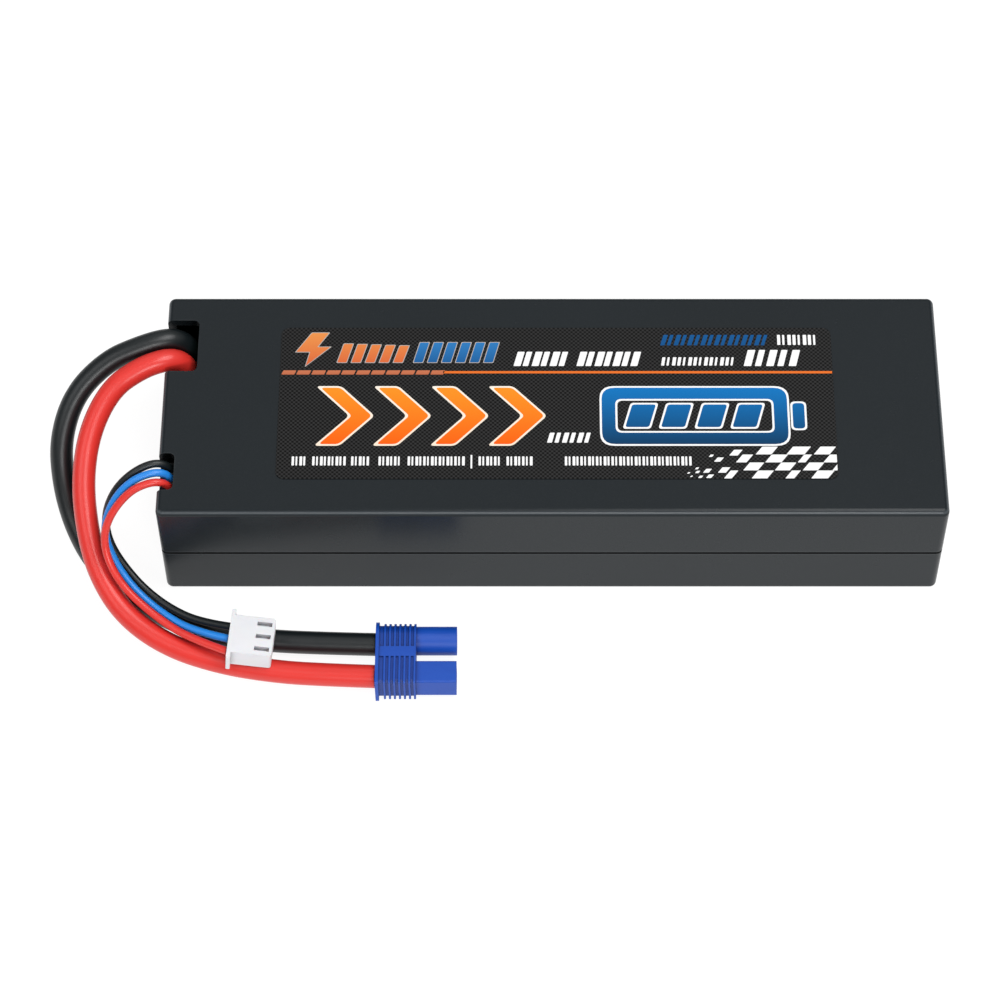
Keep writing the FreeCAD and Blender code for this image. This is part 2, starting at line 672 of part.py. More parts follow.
# ================================================================ build
def build_case_and_cells():
    """Export the case, the label, the cells and their packing."""
    case_top = make_case_top()
    export("case_bottom", make_case_bottom())
    export("case_top", case_top)
    export("top_label", make_top_label())
    for level, z_base in (("lower", LOWER_CELL_Z), ("upper", UPPER_CELL_Z)):
        export("cell_pouch_" + level, make_cell_pouch(z_base))
        export("tab_films_" + level, make_tab_films(z_base))
    for level, z_base, positive_side in (("lower", LOWER_CELL_Z, 1),
                                         ("upper", UPPER_CELL_Z, -1)):
        export("cell_tab_positive_" + level,
               make_cell_tab(z_base, positive_side))
        export("cell_tab_negative_" + level,
               make_cell_tab(z_base, -positive_side))
    export("cell_tape", make_cell_tape())
    export("foam_sheet_bottom", make_bottom_foam())
    export("foam_pad_top", make_top_foam())
    export("foam_block_end", make_end_foam())
    export("tab_board", make_tab_board())
    export("series_link", make_series_link())
    export("insulation_sheet", make_insulation_sheet())
    return case_top


def build_leads(power_connector, balance_connector, case_top):
    """Export the leads with their bare ends, solder joints and sealant."""
    power_names = ("power_lead_negative", "power_lead_positive")
    balance_names = ("balance_lead_negative", "balance_lead_middle",
                     "balance_lead_positive")
    power_leads = []
    for name in power_names:
        lead = make_lead(name, POWER_LEAD_DIAMETER).cut(power_connector)
        export(name, lead)
        power_leads.append(lead)
    balance_leads = []
    for name in balance_names:
        lead = make_lead(name, BALANCE_LEAD_DIAMETER).cut(balance_connector)
        export(name, lead)
        balance_leads.append(lead)
    power_cores = [make_core(name, POWER_CORE_DIAMETER, POWER_CORE_LENGTH)
                   for name in power_names]
    balance_cores = [make_core(name, BALANCE_CORE_DIAMETER, BALANCE_CORE_LENGTH)
                     for name in balance_names]
    export("power_lead_cores", Part.makeCompound(power_cores))
    export("balance_lead_cores", Part.makeCompound(balance_cores))
    export("power_solder_joints", make_power_joints(power_cores, power_leads))
    export("balance_solder_joints",
           make_balance_joints(balance_cores, balance_leads))
    export("power_lead_seal",
           make_lead_seal(POWER_NOTCH, power_leads, case_top))
    export("balance_lead_seal",
           make_lead_seal(BALANCE_NOTCH, balance_leads, case_top))


def build():
    """Build and export every node."""
    os.makedirs("parts", exist_ok=True)
    case_top = build_case_and_cells()
    power_connector = make_power_connector()
    export("power_connector_housing", power_connector)
    for name, centre in zip(("negative", "positive"), plug_prong_centres()):
        export("socket_contact_" + name, make_socket_contact(centre))
    balance_connector = make_balance_connector()
    export("balance_connector_housing", balance_connector)
    for name, offset in zip(("negative", "middle", "positive"), balance_ways()):
        export("crimp_contact_" + name, make_crimp_contact(offset))
    build_leads(power_connector, balance_connector, case_top)


build()
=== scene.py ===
import json
import math

import bpy
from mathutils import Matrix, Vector


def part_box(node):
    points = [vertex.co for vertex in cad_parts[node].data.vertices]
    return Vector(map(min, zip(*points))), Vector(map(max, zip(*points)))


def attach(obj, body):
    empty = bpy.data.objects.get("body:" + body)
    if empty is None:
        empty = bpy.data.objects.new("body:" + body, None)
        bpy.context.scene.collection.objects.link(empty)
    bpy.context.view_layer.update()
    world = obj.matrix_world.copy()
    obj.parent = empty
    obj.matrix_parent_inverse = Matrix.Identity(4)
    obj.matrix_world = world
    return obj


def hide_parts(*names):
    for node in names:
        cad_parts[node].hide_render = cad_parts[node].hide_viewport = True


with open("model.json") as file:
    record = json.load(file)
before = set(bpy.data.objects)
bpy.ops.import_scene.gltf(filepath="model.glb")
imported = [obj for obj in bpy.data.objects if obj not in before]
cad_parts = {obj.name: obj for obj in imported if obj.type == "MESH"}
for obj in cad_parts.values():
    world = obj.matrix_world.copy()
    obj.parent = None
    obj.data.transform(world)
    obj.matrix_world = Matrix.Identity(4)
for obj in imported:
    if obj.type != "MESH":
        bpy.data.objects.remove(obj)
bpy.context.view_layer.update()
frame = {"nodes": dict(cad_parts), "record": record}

nodes = frame["nodes"]
MM = 0.001

# ---------------------------------------------------------------- camera
CAMERA_LENS = 123.2
CAMERA_SENSOR = 36.0
CAMERA_ELEVATION = math.radians(57.3)
CAMERA_DISTANCE = 0.5946
CAMERA_TARGET = Vector((-0.00587, -0.02046, 0.025))
CAMERA_SHIFT_X = -0.0187
CAMERA_CLIP_START = 0.01

# ---------------------------------------------------------------- studio
WORLD_STRENGTH = 0.235
FLOOR_GLOW = 0.92
FLOOR_HALF_SIZE = 3.0
FLOOR_DROP = 0.00005
# Light: place, aim point, width, height, power in watts.
LIGHTS = {
    "key": ((0.30, -0.05, 0.95), (0.02, 0, 0), 0.7, 0.5, 6.6),
    "fill": ((-0.55, -0.25, 0.75), (0, 0, 0), 0.5, 0.5, 1.6),
    "strip": ((0.12, -0.83, 0.53), (0.12, 0, 0), 0.30, 0.15, 3.0),
    "strip_left": ((-0.13, -0.83, 0.53), (-0.13, 0, 0), 0.20, 0.15, 0.6),
    "back": ((0.0, 0.68, 1.05), (0, 0, 0), 1.4, 0.9, 2.0),
}

# ---------------------------------------------------------------- case
# Heights and bands are in metres; a band runs from where it starts to where it ends.
SEAM_HEIGHT = 0.012
# Painted shade in the seam groove.
SEAM_DARK_BAND = (0.00022, 0.00034)
# Painted highlight lines beside the seam groove.
SEAM_HIGHLIGHT_BAND = (0.00040, 0.00070)
SEAM_ROUGHNESS = 0.70
# Painted shade on the notch floors below this height band, and in recesses within this reach.
NOTCH_TOP_BAND = (0.0230, 0.0238)
NOTCH_REACH = 0.014
# Painted highlight on rounded edges where the normal's upward part is near this value.
HIGHLIGHT_FACING = 0.68
CASE_DARK = (0.0094, 0.0130, 0.0156)
CASE_LIGHT = (0.0114, 0.0154, 0.0182)
CASE_GRAIN = (0.018, 0.022, 0.026)
# Lighter colour of worn edges, partly a painted edge highlight, and of the painted highlight lines
# beside the seam.
CASE_WEAR_AND_HIGHLIGHT = (0.060, 0.066, 0.070)
# Painted highlight colour for the middle of the rounded edges.
CASE_EDGE_HIGHLIGHT = (0.070, 0.080, 0.088)
# Painted shade colour for the seam groove, notch floors and recesses.
CASE_PAINTED_SHADE = (0.0008, 0.0009, 0.0010)

# ---------------------------------------------------------------- materials
WEAVE_PERIOD = 0.8 * MM
FILM_DARK = (0.0005, 0.0005, 0.0006)
FILM_LIGHT = (0.028, 0.028, 0.028)
FLOOR_TONES = ((0.14, 0.14, 0.14), (0.16, 0.16, 0.16))
WHITE_INK = (0.84, 0.84, 0.84)
# Ink: colour at the top, colour at the bottom, the two label heights in millimetres.
INKS = {
    "ink_white": (WHITE_INK, WHITE_INK, 16, -16),
    "ink_cream": ((0.86, 0.78, 0.68), (0.86, 0.72, 0.58), 3.2, -9),
    "ink_orange": ((0.85, 0.27, 0.014), (0.89, 0.105, 0.002), 3.2, -9),
    "ink_line": ((0.72, 0.15, 0.02), (0.72, 0.15, 0.02), 7, 6),
    "ink_dash": ((0.52, 0.16, 0.075), (0.46, 0.13, 0.06), 6.8, 6),
    "ink_blue": ((0.003, 0.165, 0.48), (0.001, 0.036, 0.100), 3.2, -9),
    "ink_blue_small": ((0.004, 0.085, 0.26), (0.004, 0.07, 0.22), 15, 12),
    "ink_blue_emblem": ((0.03, 0.20, 0.50), (0.008, 0.09, 0.27), 14, 8),
    "ink_emblem": ((0.74, 0.27, 0.065), (0.62, 0.115, 0.035), 15, 8),
    "ink_emblem_edge": ((0.46, 0.42, 0.38), (0.40, 0.37, 0.36), 15, 8),
}
# Silicone: colour, mottle colour, roughness, specular level.
SILICONES = {
    "lead_black": ((0.0036, 0.0064, 0.0078), (0.0054, 0.0088, 0.0102), 0.36, 0.5),
    "lead_red": ((0.72, 0.034, 0.026), (0.64, 0.029, 0.023), 0.30, 0.5),
    "lead_blue": ((0.018, 0.24, 0.74), (0.014, 0.20, 0.66), 0.30, 0.5),
}
# Nylon: colour, flow mark colour, painted shade colour in recesses, roughness, subsurface weight.
NYLONS = {
    "connector_blue": ((0.002, 0.060, 0.40), (0.005, 0.078, 0.46), (0.001, 0.027, 0.20),
                       0.42, 0.0),
    "connector_white": ((0.72, 0.725, 0.75), (0.77, 0.775, 0.80), (0.50, 0.505, 0.53),
                        0.35, 0.1),
}
# Metal: colour, streak colour, roughness, how metallic.
METALS = {
    "contact_gold": ((0.90, 0.66, 0.27), (0.78, 0.55, 0.20), 0.22, 1.0),
    "contact_tin": ((0.85, 0.85, 0.88), (0.70, 0.70, 0.73), 0.38, 0.35),
    "pouch_foil": ((0.58, 0.59, 0.61), (0.50, 0.51, 0.53), 0.38, 1.0),
    "tab_aluminium": ((0.70, 0.71, 0.73), (0.60, 0.61, 0.63), 0.30, 1.0),
    "tab_nickel": ((0.60, 0.58, 0.54), (0.50, 0.48, 0.45), 0.32, 1.0),
    "solder": ((0.62, 0.63, 0.65), (0.48, 0.49, 0.51), 0.28, 1.0),
    "tinned_copper": ((0.66, 0.62, 0.56), (0.58, 0.50, 0.42), 0.35, 1.0),
}
# Matt: colour, second colour, grain in metres, bump strength, roughness.
MATTS = {
    "tab_film": ((0.10, 0.10, 0.11), (0.14, 0.14, 0.15), 0.002, 0.1, 0.45),
    "tape_white": ((0.72, 0.72, 0.70), (0.64, 0.64, 0.62), 0.001, 0.3, 0.8),
    "foam_grey": ((0.060, 0.060, 0.065), (0.10, 0.10, 0.11), 0.0005, 0.6, 0.8),
    "board_green": ((0.012, 0.10, 0.04), (0.02, 0.14, 0.06), 0.001, 0.1, 0.4),
    "fibre_sheet": ((0.03, 0.035, 0.03), (0.05, 0.06, 0.05), 0.0006, 0.3, 0.8),
    "sealant_black": ((0.006, 0.006, 0.007), (0.010, 0.010, 0.011), 0.001, 0.3, 0.5),
}

# ---------------------------------------------------------------- label print
# Ink heights are in metres, places and sizes on the label in millimetres.
LABEL_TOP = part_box("top_label")[1][2]
INK_UNDER = 0.015 * MM
INK_OVER = 0.03 * MM
OUTLINE = 0.36
THIN_OUTLINE = 0.14
FIGURE_Y = (-8.9, 3.1)

CHEVRON_COUNT = 4
CHEVRON_LEFT = -41.0
CHEVRON_PITCH = 10.15
CHEVRON_WIDTH = 9.2
CHEVRON_STROKE = 3.5

ICON_X = (8.8, 41.6)
ICON_WALL = 2.4
ICON_NUB_X = (42.5, 44.6)
ICON_NUB_Y = (-5.6, -0.2)
ICON_BAR_COUNT = 4
ICON_BAR_LEFT = 12.9
ICON_BAR_PITCH = 6.3
ICON_BAR_WIDTH = 4.2
ICON_BAR_Y = (-5.3, -0.5)
ICON_BAR_SLANT = 1.3

BOLT = [(-43.8, 7.9), (-39.6, 11.9), (-41.9, 11.9), (-39.9, 15.0),
        (-42.9, 15.0), (-45.6, 10.9), (-43.1, 10.9)]
EMBLEM_BASE = 8.6
EMBLEM_PITCH = 2.5
EMBLEM_WIDTH = 1.6
EMBLEM_SLANT = 1.1
# Bars: left edge of the first, how many, top of the first, step down to the next.
ORANGE_BARS = (-38.2, 5, 12.6, 0.1)
BLUE_BARS = (-24.6, 6, 12.9, 0.0)

RULE_X = (-19.3, 49.9)
RULE_Y = (6.2, 6.7)
DASH_COUNT = 11
DASH_LEFT = -48.1
DASH_PITCH = 2.65
DASH_LENGTH = 2.3
DASH_Y = (5.95, 6.85)
DASH_SLANT = 0.35

BOLD_WIDTHS = (1.25, 1.0)
SMALL_WIDTHS = (0.55, 0.38, 0.62)
# Row of strokes: x from, x to, y from, y to, pitch, stroke widths, lean.
WHITE_ROWS = (
    (-6.8, 2.8, 7.8, 10.9, 1.6, BOLD_WIDTHS, 0.25),
    (4.4, 15.4, 7.8, 10.9, 1.6, BOLD_WIDTHS, 0.25),
    (34.2, 44.2, 7.8, 11.3, 2.0, (1.35, 1.1), 0.25),
    (-0.9, 6.9, -8.6, -6.5, 1.3, (0.85, 0.7), 0.25),
    (19.5, 32.8, 7.9, 9.7, 0.95, SMALL_WIDTHS, 0.15),
    (40.4, 47.8, 12.4, 14.6, 0.92, SMALL_WIDTHS, 0.0),
)
BLUE_ROW = (19.4, 38.6, 12.3, 14.6, 1.2, (0.8, 0.62), 0.3)
FINE_Y = (-13.4, -11.5)
FINE_PITCH = 0.68
FINE_WIDTHS = (0.42, 0.30, 0.48, 0.34)
FINE_GROUPS = ((-45.6, -42.9), (-42.0, -36.2), (-35.2, -31.8), (-30.4, -26.2),
               (-25.3, -15.2), (-12.9, -8.8), (-8.0, -3.4), (2.2, 24.6))
DIVIDER_X = (-14.3, -14.0)
DIVIDER_Y = (-14.0, -11.2)

CHECK_ROW_HEIGHT = 1.67
CHECK_LEAN = 1.25
CHECK_BASE_Y = -16.1
CHECK_GAP = 0.02
CHECK_RIGHT = 49.85
CHECK_ROWS = (((29.9, 31.3), (34.7, 37.5), (40.6, 42.2), (45.1, 48.1)),
              ((33.3, 35.9), (38.8, 41.5), (43.7, 46.4), (48.9, 49.85)),
              ((32.1, 34.0), (37.2, 40.1), (42.9, 44.3), (47.4, 49.85)),
              ((35.6, 38.4), (41.0, 44.2), (45.8, 48.6)))
# Loose bits to the left of the checks: left edge, foot, width.
CHECK_BITS = ((31.0, -11.3, 1.5), (28.3, -12.6, 1.1), (27.4, -11.6, 0.6),
              (28.9, -14.9, 1.4), (26.3, -14.9, 1.0), (24.9, -14.2, 0.5),
              (24.9, -15.0, 0.6), (23.5, -15.1, 0.4), (24.0, -15.8, 0.35),
              (25.4, -16.0, 0.6), (26.8, -16.0, 0.9))
BIT_HEIGHT = 0.8
BIT_SLANT = 0.6

# ---------------------------------------------------------------- leads
# Diameters, lengths and exit points are in metres, the routes in millimetres.
POWER_LEAD_DIAMETER = 0.0041
BALANCE_LEAD_DIAMETER = 0.0014
LEADS = {
    "power_lead_negative": [
        (-63.8, 15.4, 8.6), (-64.6, 15.4, 12.6), (-65.2, 15.4, 16.6),
        (-65.6, 15.4, 20.4), (-67.1, 15.3, 22.5), (-69.4, 14.7, 23.6),
        (-73.8, 13.4, 23.2), (-79.8, 11.5, 21.5), (-85.7, 6.8, 17.9),
        (-88.4, 0.4, 12.8), (-88.0, -5.6, 7.3), (-86.0, -11.7, 3.5),
        (-82.3, -18.6, 2.2), (-76.7, -24.9, 2.1), (-69.3, -30.2, 2.1),
        (-60.2, -34.2, 2.1), (-50.0, -35.4, 2.1), (-40.2, -36.3, 2.8),
        (-31.0, -36.9, 3.4),
    ],
    "power_lead_positive": [
        (-63.8, 11.0, 8.6), (-64.6, 11.0, 12.6), (-65.2, 11.0, 16.6),
        (-65.6, 11.0, 20.4), (-67.1, 10.9, 22.5), (-69.4, 10.2, 23.6),
        (-73.6, 8.7, 23.1), (-78.7, 5.4, 21.6), (-82.3, -1.4, 18.6),
        (-83.5, -9.2, 14.9), (-82.7, -16.8, 11.0), (-80.5, -24.4, 7.4),
        (-75.7, -31.5, 4.5), (-68.0, -36.7, 2.7), (-58.3, -40.0, 2.2),
        (-48.2, -41.8, 2.2), (-39.2, -42.8, 2.9), (-31.0, -43.4, 3.4),
    ],
    "balance_lead_negative": [
        (-62.9, -12.2, 14.0), (-64.7, -12.2, 16.8), (-66.4, -12.2, 19.6),
        (-66.8, -12.2, 22.2), (-68.2, -12.2, 24.0), (-70.5, -12.6, 24.5),
        (-73.7, -13.8, 23.4), (-76.6, -15.3, 20.8), (-78.4, -17.0, 17.4),
        (-78.9, -18.8, 14.0), (-78.1, -20.9, 11.0), (-75.9, -23.5, 8.3),
        (-72.4, -26.9, 6.1), (-67.8, -30.3, 5.0), (-62.1, -33.5, 5.4),
        (-56.5, -35.4, 7.1),
    ],
    "balance_lead_middle": [
        (-62.9, -14.1, 14.0), (-64.7, -14.1, 16.8), (-66.4, -14.1, 19.6),
        (-66.8, -14.1, 22.2), (-68.2, -14.1, 24.0), (-70.5, -14.6, 24.5),
        (-73.7, -15.6, 23.5), (-76.6, -17.1, 20.7), (-78.4, -18.9, 17.2),
        (-78.9, -20.5, 14.2), (-78.1, -22.6, 11.4), (-76.1, -25.4, 8.8),
        (-73.0, -28.5, 6.6), (-68.8, -31.7, 5.3), (-63.4, -35.3, 5.4),
        (-56.7, -37.9, 7.1),
    ],
    "balance_lead_positive": [
        (-62.9, -16.1, 14.0), (-64.7, -16.1, 16.8), (-66.4, -16.1, 19.6),
        (-66.8, -16.1, 22.2), (-68.2, -16.1, 24.0), (-70.5, -16.5, 24.4),
        (-73.6, -17.4, 23.3), (-76.4, -18.9, 20.5), (-78.3, -20.6, 17.3),
        (-78.9, -22.2, 14.5), (-78.3, -24.5, 11.7), (-76.4, -27.3, 9.2),
        (-73.5, -30.0, 7.4), (-69.4, -33.1, 6.0), (-64.0, -36.8, 5.6),
        (-56.9, -40.4, 7.1),
    ],
}
# Lead: diameter, length, exit point at the notch, material.
LEAD_FACTS = {
    "power_lead_negative": (POWER_LEAD_DIAMETER, 0.125, (-0.0689, 0.0149, 0.0233), "lead_black"),
    "power_lead_positive": (POWER_LEAD_DIAMETER, 0.118, (-0.0689, 0.0104, 0.0233), "lead_red"),
    "balance_lead_negative": (BALANCE_LEAD_DIAMETER, 0.061, (-0.0688, -0.0123, 0.0240), "lead_black"),
    "balance_lead_middle": (BALANCE_LEAD_DIAMETER, 0.061, (-0.0688, -0.0142, 0.0240), "lead_blue"),
    "balance_lead_positive": (BALANCE_LEAD_DIAMETER, 0.061, (-0.0688, -0.0162, 0.0240), "lead_red"),
}


# ================================================================ materials
class Shader:
    """Small helper that builds one material's node tree."""

    def __init__(self, name):
        self.material = bpy.data.materials.new(name)
        self.material.use_nodes = True
        self.tree = self.material.node_tree
        self.bsdf = self.tree.nodes["Principled BSDF"]
        self.position = self.add("ShaderNodeTexCoord").outputs["Object"]

    def add(self, kind, **settings):
        """New node with some of its settings."""
        node = self.tree.nodes.new(kind)
        for key, value in settings.items():
            setattr(node, key, value)
        return node

    def link(self, source, target):
        """Join an output to an input."""
        self.tree.links.new(source, target)

    def feed(self, socket, value):
        """Put a number, a colour or another node's output into a socket."""
        if isinstance(value, bpy.types.NodeSocket):
            self.link(value, socket)
        elif isinstance(value, (tuple, list)) and len(value) == 3 and socket.type == "RGBA":
            socket.default_value = (*value, 1.0)
        else:
            socket.default_value = value

    def math(self, operation, first, second=0.0):
        """Result of a sum on one or two values."""
        node = self.add("ShaderNodeMath", operation=operation)
        self.feed(node.inputs[0], first)
        self.feed(node.inputs[1], second)
        return node.outputs[0]

    def part(self, vector, axis):
        """One axis of a vector."""
        node = self.add("ShaderNodeSeparateXYZ")
        self.link(vector, node.inputs[0])
        return node.outputs[axis]

    def upward(self):
        """How far the surface faces up: 1 on top, 0 on a wall, -1 below."""
        return self.part(self.add("ShaderNodeNewGeometry").outputs["Normal"], "Z")

    def height(self):
        """Height above the table in metres."""
        return self.part(self.position, "Z")

    def stretched(self, scale):
        """Position in metres, scaled per axis."""
        node = self.add("ShaderNodeVectorMath", operation="MULTIPLY")
        self.link(self.position, node.inputs[0])
        node.inputs[1].default_value = scale
        return node.outputs[0]

    def noise(self, grain, detail=3.0, vector=None):
        """Noise of a grain size given in metres, from 0 to 1."""
        node = self.add("ShaderNodeTexNoise")
        self.link(vector or self.position, node.inputs["Vector"])
        node.inputs["Scale"].default_value = 1.0 / grain
        node.inputs["Detail"].default_value = detail
        return node.outputs["Fac"]

    def ramp(self, factor, low, high, start=0.0, end=1.0):
        """Map start..end to low..high, and hold the ends."""
        node = self.add("ShaderNodeMapRange")
        self.feed(node.inputs["Value"], factor)
        node.inputs["From Min"].default_value = start
        node.inputs["From Max"].default_value = end
        node.inputs["To Min"].default_value = low
        node.inputs["To Max"].default_value = high
        return node.outputs["Result"]

    def mix(self, factor, first, second):
        """Blend of two colours; the node's colour sockets follow its number and vector ones."""
        node = self.add("ShaderNodeMix", data_type="RGBA")
        self.feed(node.inputs[0], factor)
        self.feed(node.inputs[6], first)
        self.feed(node.inputs[7], second)
        return node.outputs[2]

    def bump(self, height, strength, distance, normal=None):
        """Normal that follows a height pattern; the distance is in metres."""
        node = self.add("ShaderNodeBump")
        node.inputs["Strength"].default_value = strength
        node.inputs["Distance"].default_value = distance
        self.link(height, node.inputs["Height"])
        if normal is not None:
            self.link(normal, node.inputs["Normal"])
        return node.outputs["Normal"]

    def edge_wear_and_highlight(self, radius, patch):
        """1 along sharp edges where a patchy noise lets it through, else 0; the mask for worn edges
        that also carry painted highlight.
        """
        bevel = self.add("ShaderNodeBevel", samples=6)
        bevel.inputs["Radius"].default_value = radius
        geometry = self.add("ShaderNodeNewGeometry")
        turn = self.add("ShaderNodeVectorMath", operation="DOT_PRODUCT")
        self.link(bevel.outputs[0], turn.inputs[0])
        self.link(geometry.outputs["Normal"], turn.inputs[1])
        edge = self.ramp(turn.outputs["Value"], 1.0, 0.0, start=0.90, end=0.995)
        patches = self.ramp(self.noise(patch), 0.0, 1.0, start=0.40, end=0.62)
        return self.math("MULTIPLY", edge, patches)

    def crevice(self, reach, dark_at, clear_at):
        """0 deep in a recess of the piece itself, 1 where it is open; the mask for painted shade."""
        node = self.add("ShaderNodeAmbientOcclusion", samples=8, only_local=True)
        node.inputs["Distance"].default_value = reach
        return self.ramp(node.outputs["AO"], 0.0, 1.0, dark_at, clear_at)

    def finish(self, color, roughness, normal=None, **fixed):
        """Set the surface; fixed sockets are named with _ for each space."""
        self.feed(self.bsdf.inputs["Base Color"], color)
        self.feed(self.bsdf.inputs["Roughness"], roughness)
        if normal is not None:
            self.link(normal, self.bsdf.inputs["Normal"])
        for key, value in fixed.items():
            self.bsdf.inputs[key.replace("_", " ")].default_value = value
        return self.material


def case_plastic():
    """Charcoal moulded plastic with worn edges, painted highlights on the rounded edges and beside
    the seam, and painted shade in the seam groove, on the notch floors and in recesses.
    """
    s = Shader("case_plastic")
    broad = s.noise(0.03, detail=2.0)
    grain = s.noise(0.00022, detail=2.0)
    worn_and_highlight = s.edge_wear_and_highlight(radius=0.0004, patch=0.004)
    # Painted highlight: a band across the middle of each rounded edge, chosen by which way it faces.
    off_rounding = s.math("ABSOLUTE",
                          s.math("SUBTRACT", s.math("ABSOLUTE", s.upward()), HIGHLIGHT_FACING))
    edge_highlight = s.ramp(off_rounding, 0.85, 0.0, start=0.06, end=0.24)
    color = s.mix(broad, CASE_DARK, CASE_LIGHT)
    color = s.mix(s.ramp(grain, 0.0, 0.35, start=0.45, end=0.75), color, CASE_GRAIN)
    # Worn sharp edges, lightened partly as painted highlight.
    color = s.mix(s.math("MULTIPLY", worn_and_highlight, 0.35), color, CASE_WEAR_AND_HIGHLIGHT)
    color = s.mix(edge_highlight, color, CASE_EDGE_HIGHLIGHT)
    off_seam = s.math("ABSOLUTE", s.math("SUBTRACT", s.height(), SEAM_HEIGHT))
    # Painted highlight lines along both lips of the seam.
    color = s.mix(s.ramp(off_seam, 0.30, 0.0, *SEAM_HIGHLIGHT_BAND), color, CASE_WEAR_AND_HIGHLIGHT)
    # Painted shade band in the seam groove.
    outside = s.ramp(off_seam, 0.0, 1.0, *SEAM_DARK_BAND)
    # Painted shade on the notch floors: up-facing surfaces below the top band.
    above_notches = s.math("MAXIMUM", s.ramp(s.upward(), 1.0, 0.0, start=0.85, end=0.95),
                           s.ramp(s.height(), 0.0, 1.0, *NOTCH_TOP_BAND))
    # Painted shade where the piece occludes itself, in the seam groove and on the notch floors; lit
    # is 1 where none is painted.
    lit = s.math("MULTIPLY", s.math("MULTIPLY", outside, above_notches),
                 s.crevice(NOTCH_REACH, dark_at=0.78, clear_at=0.985))
    color = s.mix(lit, CASE_PAINTED_SHADE, color)
    roughness = s.math("ADD", s.ramp(s.noise(0.004), 0.24, 0.29),
                       s.ramp(outside, SEAM_ROUGHNESS, 0.0))
    normal = s.bump(grain, strength=0.10, distance=0.00003)
    return s.finish(color, roughness, normal, Specular_IOR_Level=0.205)


def printed_finish(s, color, normal):
    """Satin finish that the label film and its inks share."""
    roughness = s.ramp(s.noise(0.003), 0.34, 0.42)
    return s.finish(color, roughness, normal, Specular_IOR_Level=0.12)


def label_film():
    """Dark printed film with a fine woven dot pattern."""
    s = Shader("label_film")
    turns = 2 * math.pi / WEAVE_PERIOD
    wave_x = s.math("COSINE", s.math("MULTIPLY", s.part(s.position, "X"), turns))
    wave_y = s.math("COSINE", s.math("MULTIPLY", s.part(s.position, "Y"), turns))
    weave = s.ramp(s.math("MULTIPLY", wave_x, wave_y), 0.0, 1.0, start=-0.55, end=0.55)
    normal = s.bump(s.noise(0.0006, detail=2.0), strength=0.05, distance=0.00002)
    return printed_finish(s, s.mix(weave, FILM_DARK, FILM_LIGHT), normal)


def ink(name, top_color, bottom_color, y_top, y_bottom):
    """Printed ink that fades from one colour to another down the label."""
    s = Shader(name)
    fade = s.ramp(s.part(s.position, "Y"), 0.0, 1.0, y_top * MM, y_bottom * MM)
    color = s.mix(fade, top_color, bottom_color)
    grain = s.noise(0.00025, detail=2.0)
    color = s.mix(s.ramp(grain, 0.0, 0.12), color, bottom_color)
    return printed_finish(s, color, s.bump(grain, strength=0.05, distance=0.00001))


def silicone(name, base, dark, roughness, gloss):
    """Satin silicone insulation with a slight mottle and talc haze."""
    s = Shader(name)
    mottle = s.ramp(s.noise(0.006), 0.0, 0.5, start=0.3, end=0.8)
    haze = s.ramp(s.noise(0.0012), roughness, roughness + 0.06)
    normal = s.bump(s.noise(0.0016, detail=2.0), strength=0.03, distance=0.00004)
    return s.finish(s.mix(mottle, base, dark), haze, normal, Specular_IOR_Level=gloss)


def moulded_nylon(name, base, light, recess, roughness, subsurface):
    """Moulded connector plastic with faint flow marks, soft worn edges that also carry painted
    highlight, and painted shade in its recesses.
    """
    s = Shader(name)
    rounding = 0.00012
    # Lighter edge colour for worn edges, partly a painted highlight.
    edge_highlight = tuple(min(1.0, 1.25 * part + 0.04) for part in light)
    flow = s.noise(0.002, vector=s.stretched((0.35, 1.0, 1.0)))
    color = s.mix(s.ramp(flow, 0.0, 0.5, start=0.35, end=0.75), base, light)
    color = s.mix(s.math("MULTIPLY", s.edge_wear_and_highlight(rounding, patch=0.0015), 0.25), color, edge_highlight)
    # Painted shade in recesses, from the piece's own occlusion.
    color = s.mix(s.crevice(0.0011, dark_at=0.50, clear_at=0.96), recess, color)
    edge = s.add("ShaderNodeBevel", samples=4)
    edge.inputs["Radius"].default_value = rounding
    normal = s.bump(s.noise(0.00035, detail=2.0), strength=0.10, distance=0.00003,
                    normal=edge.outputs[0])
    return s.finish(color, s.ramp(flow, roughness, roughness + 0.08), normal,
                    Specular_IOR_Level=0.4, Subsurface_Weight=subsurface,
                    Subsurface_Scale=0.0006)


def metal(name, color, shade, roughness, metallic):
    """Plated or rolled metal with fine streaks; a dull plating is less metallic."""
    s = Shader(name)
    streaks = s.noise(0.0008, vector=s.stretched((1.0, 6.0, 1.0)))
    return s.finish(s.mix(streaks, color, shade),
                    s.ramp(streaks, roughness, roughness + 0.15),
                    s.bump(streaks, strength=0.08, distance=0.00002), Metallic=metallic)


def matt(name, color, shade, grain, strength, roughness):
    """Rough non-metal such as foam, fibre, tape or sealant."""
    s = Shader(name)
    pattern = s.noise(grain, detail=4.0)
    return s.finish(s.mix(pattern, color, shade), roughness,
                    s.bump(pattern, strength, distance=grain * 0.3))


def floor_material():
    """Plain pale studio floor, evenly lit from below like a light table."""
    s = Shader("studio_floor")
    s.bsdf.inputs["Emission Color"].default_value = (1.0, 1.0, 1.0, 1.0)
    return s.finish(s.mix(s.noise(0.5, detail=2.0), *FLOOR_TONES), 0.9,
                    Specular_IOR_Level=0.0, Emission_Strength=FLOOR_GLOW)


def build_materials():
    """All materials by slot name."""
    materials = {"case_plastic": case_plastic(), "label_film": label_film()}
    for make, table in ((ink, INKS), (silicone, SILICONES), (moulded_nylon, NYLONS),
                        (metal, METALS), (matt, MATTS)):
        for name, settings in table.items():
            materials[name] = make(name, *settings)
    return materials


